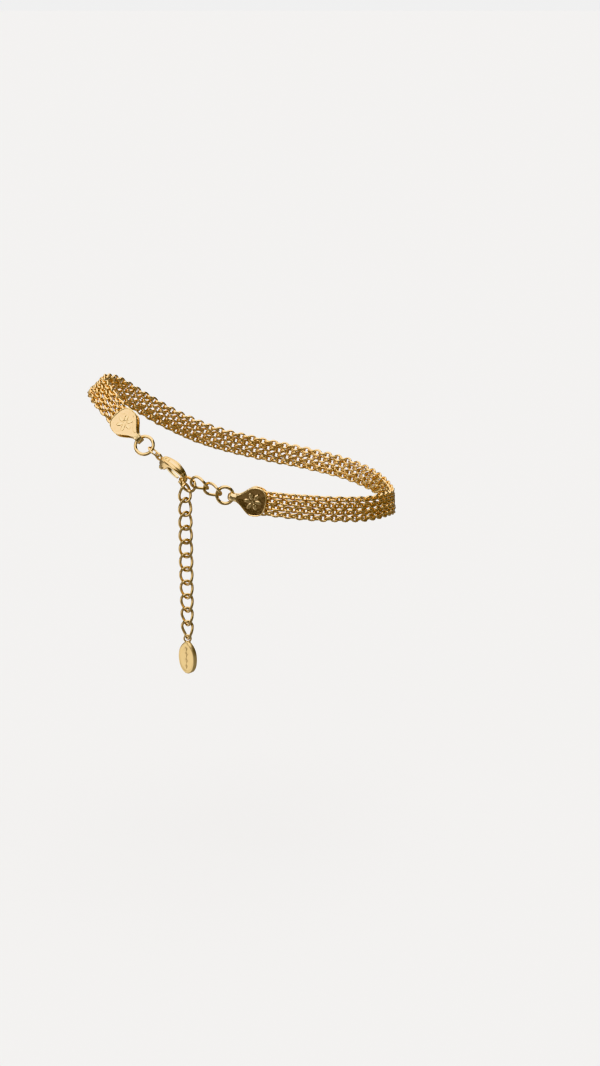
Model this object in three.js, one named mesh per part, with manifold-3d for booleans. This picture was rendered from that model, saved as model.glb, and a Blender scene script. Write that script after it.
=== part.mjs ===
// A gold-plated anklet: four fine chains lie side by side as a band, folded end caps hold them,
// and a lobster clasp hooks into an extender of curb links that ends in a small oval tag.
// Millimetres, +Z up. The origin is the middle of the ankle, the near side faces -Y, the toes +X.
import * as THREE from 'three';
import { mergeVertices } from 'three/addons/utils/BufferGeometryUtils.js';
import Module from 'manifold-3d';

const wasm = await Module();
wasm.setup();

const vec = (x, y, z) => new THREE.Vector3(x, y, z);
const degrees = THREE.MathUtils.degToRad;

// Band of chains: each chain is a round strand here, at the outer size of its links.
const STRAND_COUNT = 4;
const STRAND_PITCH = 1.92;
const STRAND_DIAMETER = 1.76;
const STRAND_SIDES = 8;
const STRAND_STEPS = 76;
const MOUTH_SQUEEZE = 0.96;

// Folded end cap: u runs from the fold to the mouth, n out of the front plate, w across.
const CAP = {
  length: 10.3,
  halfWidth: 4.4,
  widestAt: 6.4,
  neckHalfWidth: 1.1,
  neckEnd: 0.9,
  halfHeight: 1.75,
  sheet: 0.45,
  foldInner: 0.96,
  plateStart: 3.4,
  chainStart: 5.6,
  chainEnd: 9.9,
  rimWidth: 0.38,
  rimHeight: 0.22,
  rimStart: 1.15,
  petals: 6,
  petalCentre: 1.55,
  petalLength: 1.15,
  petalWidth: 0.5,
  petalHeight: 0.16,
};

// Jump rings of round wire
const RING_WIRE = 1.05;
const LEFT_RING_OUTER = 6.6;
const RIGHT_RING_OUTER = 6.0;

// Curb link: a loop of round wire, twisted so that a chain of them lies flat
const LINK = {
  wire: 0.9,
  halfWidth: 1.8,
  halfLength: 2.72,
  twist: 0.62,
  sides: 6,
  steps: 16,
};

// Stations of the band from the left cap's mouth round the back, the far side and the front to the
// right cap's mouth. tilt is how far the band's face leans up from upright, in degrees.
const bandStations = [
  { x: -41.5, y: -9.6, z: 16.7, tilt: 43 },
  { x: -44.8, y: 0.0, z: 19.0, tilt: 45 },
  { x: -41.5, y: 10.0, z: 16.9, tilt: 42 },
  { x: -34.5, y: 17.4, z: 10.8, tilt: 34 },
  { x: -24.5, y: 23.5, z: 3.2, tilt: 24 },
  { x: -12.0, y: 28.3, z: -3.6, tilt: 16 },
  { x: 4.0, y: 31.2, z: -8.6, tilt: 11 },
  { x: 20.0, y: 30.2, z: -11.8, tilt: 9 },
  { x: 34.0, y: 24.3, z: -14.2, tilt: 7 },
  { x: 42.7, y: 14.8, z: -16.2, tilt: 5 },
  { x: 46.7, y: 0.0, z: -17.6, tilt: 3 },
  { x: 44.4, y: -11.0, z: -16.0, tilt: 4 },
  { x: 38.1, y: -20.6, z: -14.8, tilt: 5 },
  { x: 28.4, y: -27.2, z: -13.2, tilt: 6 },
  { x: 17.8, y: -30.5, z: -11.7, tilt: 7 },
];

// Where each cap's ring sits, which way the cap points from it, and how far its face leans up
const leftEnd = { ring: vec(-28.92, -20.92, 4.88), toMouth: vec(-7.71, 5.66, 7.51), tilt: 36 };
const rightEnd = { ring: vec(-4.51, -30.13, -8.13), toMouth: vec(9.3, -1.17, -1.61), tilt: 7 };

// Lobster clasp, in its own frame: x from the ring's wire to the tip, y out of the claw's back,
// z through the claw. It hangs on the left ring, hookTurn degrees to one side of the cap's line.
const CLASP = {
  along: vec(0.722, -0.3385, -0.6034),
  back: vec(0.29, -0.6438, 0.7082),
  hookTurn: 17,
  width: 3.2,
  eyeX: 2.95,
  eyeInner: 0.8,
  eyeOuter: 1.5,
  eyeWidth: 0.82,
  eyeBevel: 0.16,
};

const LEVER = {
  pivotX: 5.9,
  pivotY: -0.5,
  width: 1.0,
  bevel: 0.1,
  hole: 0.48,
  bossRadius: 0.85,
  stemWidth: 0.72,
  knobX: 5.1,
  knobY: -3.1,
  knobRadius: 0.85,
};

// The lever's room in the claw, and the rivet that it turns on
const LEVER_SLOT = { x0: 4.75, x1: 8.3, y0: -3.0, y1: 0.55, width: 1.35 };
const RIVET = { radius: 0.35, hole: 0.46, length: 2.7, sides: 12 };

// Small oval link between the left ring and the clasp's eye, rolled about the clasp's x
const CLASP_LINK = {
  x: 0.88,
  halfLength: 2.02,
  halfWidth: 1.24,
  wire: 0.56,
  roll: 28.7,
};

// Outlines of the clasp as [x, y] points, or [x, half width] for the claw's taper
const CLAW_START = [4.0, 0.9];
const CLAW_BACK = [[4.8, 1.65], [7.0, 2.6], [9.8, 2.95], [12.5, 2.5], [13.95, 1.3], [14.4, -0.1],
  [13.95, -1.25], [13.1, -1.8], [12.2, -1.95]];
const CLAW_THROAT = [[12.9, -0.95], [13.38, -0.15], [13.2, 0.9], [12.2, 1.62], [10.2, 1.87],
  [8.4, 1.65], [7.55, 0.85], [7.3, -0.2], [7.0, -1.4]];
const CLAW_TIP_INSIDE = [12.2, -1.1];
const CLAW_NECK = [[6.2, -1.85], [5.2, -1.8], [4.4, -1.4], [4.0, -0.9]];
const CLAW_TAPER = [[3.9, 0.75], [4.8, 1.25], [6.4, 1.55], [9.5, 1.5], [12.2, 1.05], [13.4, 0.8],
  [14.6, 0.65]];
const LEVER_TOP = [[7.0, -0.5], [8.4, -0.95], [10.0, -1.05], [11.65, -0.95]];
const LEVER_UNDERSIDE = [[10.0, -1.8], [8.2, -1.8], [6.9, -1.5], [5.9, -1.3]];
const LEVER_END = [11.7, -1.5];

// The extender's first links, from the right ring to the one that the clasp holds: centre, line of
// the chain and the way that the link's face looks
const extenderStart = [
  { centre: vec(-8.16, -29.35, -6.7), line: vec(0.9, -0.28, -0.33), face: vec(-0.37, -0.89, -0.26) },
  { centre: vec(-12.07, -28.28, -5.14), line: vec(0.88, -0.06, -0.47), face: vec(-0.27, -0.87, -0.41) },
  { centre: vec(-15.64, -27.4, -5.24), line: vec(0.67, -0.48, -0.56), face: vec(0.1, 0.81, -0.58) },
];

// The free end: links that hang straight down and turn slowly towards the tag, in degrees
const HANGING = {
  count: 11,
  first: vec(-16.53, -28.31, -7.93),
  pitch: 4.31,
  startTurn: -33.3,
  endTurn: 36,
};

// Almond-shaped plate with an eye. Its face is turned from the near side, in degrees.
const TAG = {
  centre: vec(-16.53, -28.31, -59.78),
  turn: 40,
  halfWidth: 3.3,
  halfHeight: 5.25,
  thickness: 1.5,
  bevel: 0.2,
  eyeHeight: 5.95,
  eyeRadius: 1.05,
  eyeWire: 0.6,
  eyeTurn: 40,
  relief: 0.15,
};
const tagLozenges = [
  { height: 2.7, halfWidth: 0.5 },
  { height: 0.9, halfWidth: 0.6 },
  { height: -1.0, halfWidth: 0.6 },
  { height: -2.9, halfWidth: 0.5 },
];

const palette = {
  chain: { color: 0xd9a441, roughness: 0.24 },
  polished: { color: 0xe2b256, roughness: 0.16 },
  stamped: { color: 0xcf9a3f, roughness: 0.3 },
};

function goldMaterial({ color, roughness }) {
  return new THREE.MeshStandardMaterial({ color, roughness, metalness: 1 });
}

// Solids for joining and cutting

function toSolid(geometry) {
  const bare = geometry.clone();
  bare.deleteAttribute('normal');
  bare.deleteAttribute('uv');
  const welded = mergeVertices(bare, 1e-5);
  return new wasm.Manifold(new wasm.Mesh({
    numProp: 3,
    vertProperties: new Float32Array(welded.attributes.position.array),
    triVerts: new Uint32Array(welded.index.array),
  }));
}

function toGeometry(solid) {
  const mesh = solid.getMesh();
  const geometry = new THREE.BufferGeometry();
  geometry.setAttribute('position', new THREE.BufferAttribute(mesh.vertProperties, 3));
  geometry.setIndex(new THREE.BufferAttribute(mesh.triVerts, 1));
  geometry.computeVertexNormals();
  return geometry;
}

function extrude(shape, depth, options = {}) {
  const { bevel = 0, bevelSegments = 2, curveSegments = 8 } = options;
  const geometry = new THREE.ExtrudeGeometry(shape, {
    depth: depth - 2 * bevel,
    bevelEnabled: bevel > 0,
    bevelSize: bevel,
    bevelOffset: -bevel,
    bevelThickness: bevel,
    bevelSegments,
    curveSegments,
  });
  return geometry.translate(0, 0, bevel - depth / 2);
}

// An outline drawn in x and z, extruded along y
function extrudeAlongY(shape, depth, options) {
  return extrude(shape, depth, options).rotateX(Math.PI / 2);
}

function named(name, geometry, finish) {
  const mesh = new THREE.Mesh(geometry, goldMaterial(finish));
  mesh.name = name;
  return mesh;
}

// Puts a piece whose own axes are x, y and x cross y at a place, with x and y pointing as given.
function place(mesh, origin, xAxis, yAxis) {
  const x = xAxis.clone().normalize();
  const y = yAxis.clone().addScaledVector(x, -yAxis.dot(x)).normalize();
  const turn = new THREE.Matrix4().makeBasis(x, y, x.clone().cross(y));
  mesh.quaternion.setFromRotationMatrix(turn);
  mesh.position.copy(origin);
  return mesh;
}

// The band's own directions at a point: outward from the ankle and across the band, upwards
function bandFrame(along, tilt) {
  const level = vec(0, 0, 1).cross(along).normalize();
  const up = along.clone().cross(level);
  const lean = degrees(tilt);
  const outward = level.clone().multiplyScalar(Math.cos(lean)).addScaledVector(up, Math.sin(lean));
  const across = up.clone().multiplyScalar(Math.cos(lean)).addScaledVector(level, -Math.sin(lean));
  return { outward, across };
}

// A closed loop of round wire: a torus whose circle is bent onto centreAt(angle)
function wireLoop(centreAt, wire, sides, steps) {
  const geometry = new THREE.TorusGeometry(1, wire / 2, sides, steps);
  const position = geometry.attributes.position;
  const step = 1e-3;
  for (let i = 0; i < position.count; i += 1) {
    const flat = vec().fromBufferAttribute(position, i);
    const angle = Math.atan2(flat.y, flat.x);
    const outwards = Math.hypot(flat.x, flat.y) - 1;
    const centre = centreAt(angle);
    const tangent = centreAt(angle + step).sub(centreAt(angle - step)).normalize();
    const radial = centre.clone().addScaledVector(tangent, -centre.dot(tangent)).normalize();
    const side = radial.clone().cross(tangent);
    centre.addScaledVector(radial, outwards).addScaledVector(side, flat.z);
    position.setXYZ(i, centre.x, centre.y, centre.z);
  }
  geometry.computeVertexNormals();
  return geometry;
}

// Directions of the two ends and of the caps on them

function endFrame(end, ringOuter, travel) {
  const toMouth = end.toMouth.clone().normalize();
  const along = toMouth.clone().multiplyScalar(travel);
  const { outward, across } = bandFrame(along, end.tilt);
  const foldRadius = (ringOuter - RING_WIRE) / 2;
  const fold = end.ring.clone().addScaledVector(toMouth, foldRadius);
  const at = (u) => fold.clone().addScaledVector(toMouth, u);
  return { toMouth, outward, across, fold, at, tilt: end.tilt };
}

const left = endFrame(leftEnd, LEFT_RING_OUTER, 1);
const right = endFrame(rightEnd, RIGHT_RING_OUTER, -1);

// Band

function bandPath() {
  const inCap = [CAP.chainStart, (CAP.chainStart + CAP.chainEnd) / 2, CAP.chainEnd];
  const fromLeft = inCap.map((u) => ({ point: left.at(u), tilt: left.tilt, squeeze: MOUTH_SQUEEZE }));
  const toRight = inCap.map((u) => ({ point: right.at(u), tilt: right.tilt, squeeze: MOUTH_SQUEEZE }));
  const round = bandStations.map(({ x, y, z, tilt }) => ({ point: vec(x, y, z), tilt, squeeze: 1 }));
  return [...fromLeft, ...round, ...toRight.reverse()];
}

function strandGeometry(row) {
  const path = bandPath();
  const middle = new THREE.CatmullRomCurve3(path.map((station) => station.point), false, 'centripetal');
  const offset = ((STRAND_COUNT - 1) / 2 - row) * STRAND_PITCH;
  const points = path.map(({ point, tilt, squeeze }, i) => {
    const along = middle.getTangent(i / (path.length - 1));
    const { across } = bandFrame(along, tilt);
    return point.clone().addScaledVector(across, offset * squeeze);
  });
  const section = new THREE.Shape();
  section.absarc(0, 0, STRAND_DIAMETER / 2, 0, 2 * Math.PI);
  return new THREE.ExtrudeGeometry(section, {
    extrudePath: new THREE.CatmullRomCurve3(points, false, 'centripetal'),
    steps: STRAND_STEPS,
    curveSegments: STRAND_SIDES / 2,
  });
}

// End caps

function capOutline(inset, start) {
  const { widestAt, neckEnd } = CAP;
  const neck = CAP.neckHalfWidth - inset;
  const half = CAP.halfWidth - inset;
  const end = CAP.length - inset;
  const shoulder = 3.4 - inset;
  const outline = new THREE.Shape();
  outline.moveTo(start, -neck);
  outline.lineTo(Math.max(start, neckEnd), -neck);
  outline.bezierCurveTo(2.8, -neck - 0.15, 4.4, -half, widestAt, -half);
  outline.bezierCurveTo(end - 1.1, -half, end, -shoulder, end, 0);
  outline.bezierCurveTo(end, shoulder, end - 1.1, half, widestAt, half);
  outline.bezierCurveTo(4.4, half, 2.8, neck + 0.15, Math.max(start, neckEnd), neck);
  outline.lineTo(start, neck);
  return outline;
}

function foldedSheetSide() {
  const { length, halfHeight, sheet, foldInner, plateStart } = CAP;
  const foldOuter = foldInner + sheet;
  const inner = halfHeight - sheet;
  const side = new THREE.Shape();
  side.moveTo(length, halfHeight);
  side.lineTo(plateStart, halfHeight);
  side.quadraticCurveTo(1.6, halfHeight, 0, foldOuter);
  side.absarc(0, 0, foldOuter, Math.PI / 2, 1.5 * Math.PI);
  side.quadraticCurveTo(1.6, -halfHeight, plateStart, -halfHeight);
  side.lineTo(length, -halfHeight);
  side.lineTo(length, -inner);
  side.lineTo(plateStart, -inner);
  side.quadraticCurveTo(1.6, -inner, 0, -foldInner);
  side.absarc(0, 0, foldInner, 1.5 * Math.PI, Math.PI / 2, true);
  side.quadraticCurveTo(1.6, inner, plateStart, inner);
  side.lineTo(length, inner);
  return side;
}

// Low relief on the front plate: a plain rosette of petals round the plate's middle
function petalShape(turn) {
  const petal = new THREE.Shape();
  const reach = CAP.petalCentre;
  const middleX = CAP.widestAt - 0.2 + reach * Math.cos(turn);
  const middleY = reach * Math.sin(turn);
  petal.absellipse(middleX, middleY, CAP.petalLength, CAP.petalWidth, 0, 2 * Math.PI, false, turn);
  return petal;
}

function capGeometry() {
  const { halfWidth, halfHeight, rimHeight, rimWidth, rimStart, petalHeight } = CAP;
  const foldStart = -CAP.foldInner - CAP.sheet - 0.1;
  const folded = toSolid(extrude(foldedSheetSide(), 2 * halfWidth + 1, { curveSegments: 7 }));
  const outline = extrudeAlongY(capOutline(0, foldStart), 2 * halfHeight + 1, { curveSegments: 10 });
  let cap = folded.intersect(toSolid(outline));

  const raise = (shape, height, curveSegments) => {
    const sunk = 0.3;
    const relief = extrudeAlongY(shape, height + sunk, { curveSegments });
    return toSolid(relief.translate(0, halfHeight + (height - sunk) / 2, 0));
  };
  const rimOutside = raise(capOutline(0, rimStart), rimHeight, 10);
  const rimInside = raise(capOutline(rimWidth, rimStart - 0.1), rimHeight + 1, 10);
  cap = cap.add(rimOutside.subtract(rimInside));
  for (let i = 0; i < CAP.petals; i += 1) {
    cap = cap.add(raise(petalShape((i * 2 * Math.PI) / CAP.petals), petalHeight, 5));
  }
  return toGeometry(cap);
}

// Clasp

function points2d(pairs) {
  return pairs.map(([x, y]) => new THREE.Vector2(x, y));
}

function disc(x, y, radius) {
  const shape = new THREE.Shape();
  shape.absarc(x, y, radius, 0, 2 * Math.PI);
  return shape;
}

// Outline of the claw from the neck over the back to the tip, and back along the throat
function clawOutline() {
  const claw = new THREE.Shape();
  claw.moveTo(...CLAW_START);
  claw.splineThru(points2d(CLAW_BACK));
  claw.lineTo(...CLAW_TIP_INSIDE);
  claw.splineThru(points2d(CLAW_THROAT));
  claw.splineThru(points2d(CLAW_NECK));
  return claw;
}

// The claw seen along y: narrow at the neck, broadest over the lever, slim at the tip
function clawTaper() {
  const nearSide = CLAW_TAPER.map(([x, half]) => [x, -half]);
  const farSide = [...CLAW_TAPER].reverse();
  const taper = new THREE.Shape();
  taper.moveTo(...nearSide[0]);
  taper.splineThru(points2d(nearSide.slice(1)));
  taper.lineTo(...farSide[0]);
  taper.splineThru(points2d(farSide.slice(1)));
  return taper;
}

function claspBodyGeometry() {
  const { eyeX, eyeInner, eyeOuter, eyeWidth, eyeBevel, width } = CLASP;
  const through = 2 * width;
  const claw = toSolid(extrude(clawOutline(), width, { curveSegments: 2 }));
  const taper = toSolid(extrudeAlongY(clawTaper(), through + width, { curveSegments: 2 }));
  const { x0, x1, y0, y1 } = LEVER_SLOT;
  const slotBox = new THREE.BoxGeometry(x1 - x0, y1 - y0, LEVER_SLOT.width);
  const slot = toSolid(slotBox.translate((x0 + x1) / 2, (y0 + y1) / 2, 0));
  const rivetHole = disc(LEVER.pivotX, LEVER.pivotY, RIVET.hole);
  const pinHole = toSolid(extrude(rivetHole, through, { curveSegments: 6 }));
  const eyeDisc = extrude(disc(eyeX, 0, eyeOuter), eyeWidth, { bevel: eyeBevel, bevelSegments: 1 });
  const eye = toSolid(eyeDisc);
  const eyeHole = toSolid(extrude(disc(eyeX, 0, eyeInner), through, { curveSegments: 6 }));
  const cutClaw = claw.intersect(taper).subtract(slot).subtract(pinHole);
  return toGeometry(cutClaw.add(eye).subtract(eyeHole));
}

// Spring lever: boss on the rivet, a bar that closes the throat and a thumb knob on a short stem
function claspLeverGeometry() {
  const { pivotX, pivotY, bossRadius, stemWidth, knobX, knobY, knobRadius } = LEVER;
  const flat = (shape, curveSegments) => {
    const options = { bevel: LEVER.bevel, bevelSegments: 1, curveSegments };
    return toSolid(extrude(shape, LEVER.width, options));
  };
  const bar = new THREE.Shape();
  bar.moveTo(pivotX, pivotY + bossRadius - LEVER.bevel);
  bar.splineThru(points2d(LEVER_TOP));
  bar.lineTo(...LEVER_END);
  bar.splineThru(points2d(LEVER_UNDERSIDE));
  const stemTop = pivotY - bossRadius / 2;
  const stem = new THREE.Shape(points2d([
    [pivotX - stemWidth, stemTop],
    [pivotX, stemTop],
    [knobX + stemWidth / 2, knobY],
    [knobX - stemWidth / 2, knobY],
  ]));
  const knob = toSolid(new THREE.SphereGeometry(knobRadius, 12, 8).translate(knobX, knobY, 0));
  const hole = toSolid(extrude(disc(pivotX, pivotY, LEVER.hole), 2 * LEVER.width, { curveSegments: 6 }));
  const boss = flat(disc(pivotX, pivotY, bossRadius), 7);
  return toGeometry(flat(bar, 3).add(boss).add(flat(stem, 1)).add(knob).subtract(hole));
}

function claspRivetGeometry() {
  const rivet = new THREE.CylinderGeometry(RIVET.radius, RIVET.radius, RIVET.length, RIVET.sides);
  return rivet.rotateX(Math.PI / 2).translate(LEVER.pivotX, LEVER.pivotY, 0);
}

function claspLinkGeometry() {
  const { x, halfLength, halfWidth, wire } = CLASP_LINK;
  const oval = (angle) => vec(halfLength * Math.cos(angle), halfWidth * Math.sin(angle), 0);
  return wireLoop(oval, wire, 6, 16).translate(x, 0, 0);
}

// Extender

function curbLinkGeometry() {
  const { wire, halfWidth, halfLength, twist, sides, steps } = LINK;
  const curb = (angle) => vec(
    halfWidth * Math.sin(angle),
    twist * Math.sin(2 * angle),
    halfLength * Math.cos(angle),
  );
  return wireLoop(curb, wire, sides, steps);
}

// A link's own z axis runs along the chain and its y axis out of the link's face.
function placeLink(link, { centre, line, face }) {
  const z = line.clone().normalize();
  const y = face.clone().addScaledVector(z, -face.dot(z)).normalize();
  return place(link, centre, y.clone().cross(z), y);
}

function hangingPoses() {
  const { count, first, pitch, startTurn, endTurn } = HANGING;
  return Array.from({ length: count }, (_, i) => {
    const turn = degrees(startTurn + ((endTurn - startTurn) * i) / (count - 1));
    return {
      centre: first.clone().add(vec(0, 0, -i * pitch)),
      line: vec(0, 0, 1),
      face: vec(-Math.sin(turn), -Math.cos(turn), 0),
    };
  });
}

// Tag

function tagGeometry() {
  const { halfWidth, halfHeight, thickness, bevel, eyeWire, eyeRadius, eyeTurn, relief } = TAG;
  const plate = new THREE.Shape();
  plate.moveTo(0, halfHeight);
  plate.bezierCurveTo(halfWidth * 0.75, halfHeight * 0.74, halfWidth, halfHeight * 0.38, halfWidth, -0.3);
  plate.bezierCurveTo(halfWidth, -halfHeight * 0.64, halfWidth * 0.55, -halfHeight, 0, -halfHeight);
  plate.bezierCurveTo(-halfWidth * 0.55, -halfHeight, -halfWidth, -halfHeight * 0.64, -halfWidth, -0.3);
  plate.bezierCurveTo(-halfWidth, halfHeight * 0.38, -halfWidth * 0.75, halfHeight * 0.74, 0, halfHeight);
  const eye = new THREE.TorusGeometry(eyeRadius, eyeWire / 2, 6, 16);
  eye.rotateY(degrees(eyeTurn)).translate(0, TAG.eyeHeight, 0);
  let tag = toSolid(extrude(plate, thickness, { bevel, curveSegments: 7 })).add(toSolid(eye));

  // Raised lozenges down the middle, sunk into the plate by twice their height
  const depth = 3 * relief;
  const middle = (thickness + 2 * relief - depth) / 2;
  for (const { height, halfWidth: half } of tagLozenges) {
    const corners = [[0, height - half * 1.5], [half, height], [0, height + half * 1.5], [-half, height]];
    const lozenge = extrude(new THREE.Shape(points2d(corners)), depth);
    tag = tag.add(toSolid(lozenge.translate(0, 0, middle)));
  }
  return toGeometry(tag);
}

// Assembly

const anklet = new THREE.Group();

for (let row = 0; row < STRAND_COUNT; row += 1) {
  anklet.add(named(`strand_${row + 1}`, strandGeometry(row), palette.chain));
}

const capSolid = capGeometry();
function endCap(name, { fold, toMouth, outward }) {
  return place(named(name, capSolid, palette.stamped), fold, toMouth, outward);
}
anklet.add(endCap('end_cap_left', left));
anklet.add(endCap('end_cap_right', right));

function jumpRing(name, outer, end, frame) {
  const torus = new THREE.TorusGeometry((outer - RING_WIRE) / 2, RING_WIRE / 2, 6, 20);
  return place(named(name, torus, palette.polished), end.ring, frame.toMouth, frame.across);
}
anklet.add(jumpRing('jump_ring_left', LEFT_RING_OUTER, leftEnd, left));
anklet.add(jumpRing('jump_ring_right', RIGHT_RING_OUTER, rightEnd, right));

const hookTurn = degrees(CLASP.hookTurn);
const ringRadius = (LEFT_RING_OUTER - RING_WIRE) / 2;
const claspOrigin = leftEnd.ring.clone()
  .addScaledVector(left.toMouth, -Math.cos(hookTurn) * ringRadius)
  .addScaledVector(left.across, Math.sin(hookTurn) * ringRadius);
const { along, back } = CLASP;
function clasp(name, geometry) {
  return place(named(name, geometry, palette.polished), claspOrigin, along, back);
}
anklet.add(clasp('clasp_body', claspBodyGeometry()));
anklet.add(clasp('clasp_lever', claspLeverGeometry()));
anklet.add(clasp('clasp_rivet', claspRivetGeometry()));

const through = along.clone().cross(back).normalize();
const roll = degrees(CLASP_LINK.roll);
const linkAcross = back.clone().multiplyScalar(-Math.sin(roll)).addScaledVector(through, -Math.cos(roll));
const claspLink = named('clasp_link', claspLinkGeometry(), palette.polished);
anklet.add(place(claspLink, claspOrigin, along, linkAcross));

[...extenderStart, ...hangingPoses()].forEach((pose, i) => {
  const name = `link_${String(i + 1).padStart(2, '0')}`;
  anklet.add(placeLink(named(name, curbLinkGeometry(), palette.polished), pose));
});

const tagTurn = degrees(TAG.turn);
const tag = named('tag', tagGeometry(), palette.stamped);
anklet.add(place(tag, TAG.centre, vec(Math.cos(tagTurn), -Math.sin(tagTurn), 0), vec(0, 0, 1)));

export default anklet;
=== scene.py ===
import math

import bmesh
import bpy
import numpy as np
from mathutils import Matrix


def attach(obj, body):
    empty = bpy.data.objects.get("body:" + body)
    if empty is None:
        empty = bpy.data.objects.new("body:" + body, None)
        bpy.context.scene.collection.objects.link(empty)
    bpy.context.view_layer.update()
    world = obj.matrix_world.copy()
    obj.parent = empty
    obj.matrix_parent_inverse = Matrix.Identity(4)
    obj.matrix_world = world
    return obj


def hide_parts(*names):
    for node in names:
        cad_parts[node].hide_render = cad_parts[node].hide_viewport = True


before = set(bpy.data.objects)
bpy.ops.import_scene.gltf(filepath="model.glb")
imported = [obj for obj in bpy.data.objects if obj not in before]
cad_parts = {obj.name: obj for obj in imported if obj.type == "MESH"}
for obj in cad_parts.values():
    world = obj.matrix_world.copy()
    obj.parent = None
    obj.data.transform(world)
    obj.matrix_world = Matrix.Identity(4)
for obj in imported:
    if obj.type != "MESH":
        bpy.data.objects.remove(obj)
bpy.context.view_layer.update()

MM = 0.001
rng = np.random.default_rng(20)

# Measures that the solids have too

# Stations of the band from the left cap's mouth round the back, the far side and the front to the
# right cap's mouth: x, y, z and how far the band's face leans up from upright, in degrees
BAND_STATIONS = np.array([
    (-41.5, -9.6, 16.7, 43),
    (-44.8, 0.0, 19.0, 45),
    (-41.5, 10.0, 16.9, 42),
    (-34.5, 17.4, 10.8, 34),
    (-24.5, 23.5, 3.2, 24),
    (-12.0, 28.3, -3.6, 16),
    (4.0, 31.2, -8.6, 11),
    (20.0, 30.2, -11.8, 9),
    (34.0, 24.3, -14.2, 7),
    (42.7, 14.8, -16.2, 5),
    (46.7, 0.0, -17.6, 3),
    (44.4, -11.0, -16.0, 4),
    (38.1, -20.6, -14.8, 5),
    (28.4, -27.2, -13.2, 6),
    (17.8, -30.5, -11.7, 7),
])
STRANDS = 4
STRAND_PITCH = 1.92
MOUTH_SQUEEZE = 0.96

# A cap's places along its length are distances from the middle of its fold
CAP_LENGTH = 10.3
CAP_HALF_WIDTH = 4.4
CAP_WIDEST_AT = 6.4
CAP_NECK = 1.1
CAP_NECK_END = 0.9
CAP_HALF_HEIGHT = 1.75
CAP_SHEET = 0.45
CAP_FOLD = 0.96
CAP_PLATE_START = 3.4
CAP_CHAIN_START = 5.6
CAP_CHAIN_END = 9.9

RING_WIRE = 1.05
LEFT_RING = {"outer": 6.6, "centre": (-28.92, -20.92, 4.88), "to_mouth": (-7.71, 5.66, 7.51),
             "tilt": 36, "travel": 1}
RIGHT_RING = {"outer": 6.0, "centre": (-4.51, -30.13, -8.13), "to_mouth": (9.3, -1.17, -1.61),
              "tilt": 7, "travel": -1}

# Curves and skins


def unit(vectors):
    """Vectors divided by their lengths"""
    return vectors / np.linalg.norm(vectors, axis=-1, keepdims=True)


def even_turns(count):
    """Angles at even steps once round a circle"""
    return np.linspace(0, 2 * np.pi, count, endpoint=False)


def smooth_step(x, low, high):
    """0 up to low and 1 from high on. Between them 3 t^2 - 2 t^3, where t is the share of the way."""
    t = np.clip((x - low) / (high - low), 0, 1)
    return t * t * (3 - 2 * t)


def spline(points, per_span):
    """Smooth curve through points. On each span it is the cubic whose end slopes come from the
    neighbouring points, weighed by the square roots of the distances between them."""
    points = np.asarray(points, float)
    all_points = np.vstack([2 * points[0] - points[1], points, 2 * points[-1] - points[-2]])
    knots = np.sqrt(np.linalg.norm(np.diff(all_points, axis=0), axis=1))[:, None]
    p0, p1, p2, p3 = all_points[:-3], all_points[1:-2], all_points[2:-1], all_points[3:]
    d0, d1, d2 = knots[:-2], knots[1:-1], knots[2:]
    start = ((p1 - p0) / d0 - (p2 - p0) / (d0 + d1) + (p2 - p1) / d1) * d1
    end = ((p2 - p1) / d1 - (p3 - p1) / (d1 + d2) + (p3 - p2) / d2) * d1
    t = np.linspace(0, 1, per_span, endpoint=False)[:, None, None]
    cubic = ((2 * t**3 - 3 * t**2 + 1) * p1 + (t**3 - 2 * t**2 + t) * start
             + (3 * t**2 - 2 * t**3) * p2 + (t**3 - t**2) * end)
    return np.vstack([cubic.transpose(1, 0, 2).reshape(-1, points.shape[1]), points[-1:]])


def drawn_curve(controls, t):
    """Curve from the first of four points to the last, drawn towards the two between them: their
    weights are (1 - t)^3, 3 (1 - t)^2 t, 3 (1 - t) t^2 and t^3."""
    t = t[:, None]
    weights = np.hstack([(1 - t)**3, 3 * (1 - t)**2 * t, 3 * (1 - t) * t**2, t**3])
    return weights @ np.array(controls)


def lengths_along(path):
    """Distance along a path to each of its points: the sum of the steps up to there"""
    return np.concatenate([[0.0], np.cumsum(np.linalg.norm(np.diff(path, axis=0), axis=1))])


def at_lengths(path, lengths, values):
    """Values that are known at a path's points, at these lengths along the path"""
    known = lengths_along(path)
    return np.stack([np.interp(lengths, known, column) for column in values.T], axis=-1)


def grid_faces(rows, columns, close_rows=False):
    """Four-sided faces between neighbouring points of a grid whose columns close, and whose rows may"""
    index = np.arange(rows * columns).reshape(rows, columns)
    if close_rows:
        index = np.vstack([index, index[:1]])
    index = np.hstack([index, index[:, :1]])
    corners = (index[:-1, :-1], index[:-1, 1:], index[1:, 1:], index[1:, :-1])
    return np.stack([corner.ravel() for corner in corners], axis=1)


def turned_outwards(points, faces):
    """Faces of a closed skin, turned over if the volume that they enclose is negative. It has the
    sign of the sum over all faces of a . (b x c) + a . (c x d), where a to d are a face's corners."""
    a, b, c, d = (points[faces[:, corner]] for corner in range(4))
    volume = np.einsum("ij,ij->", a, np.cross(b, c)) + np.einsum("ij,ij->", a, np.cross(c, d))
    return faces[:, ::-1] if volume < 0 else faces


def shell(points, close_rows=False):
    """A closed skin from a grid of points, with its faces turned outwards. Where the rows don't
    close, the first and the last row are poles: all their points lie at one place."""
    rows, columns = points.shape[:2]
    flat = points.reshape(-1, 3)
    return flat, turned_outwards(flat, grid_faces(rows, columns, close_rows))


def join(shells):
    """Several skins as one list of points and one list of faces"""
    starts = np.cumsum([0] + [len(points) for points, _ in shells[:-1]])
    points = np.vstack([points for points, _ in shells])
    faces = np.vstack([faces + start for (_, faces), start in zip(shells, starts)])
    return points, faces


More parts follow.
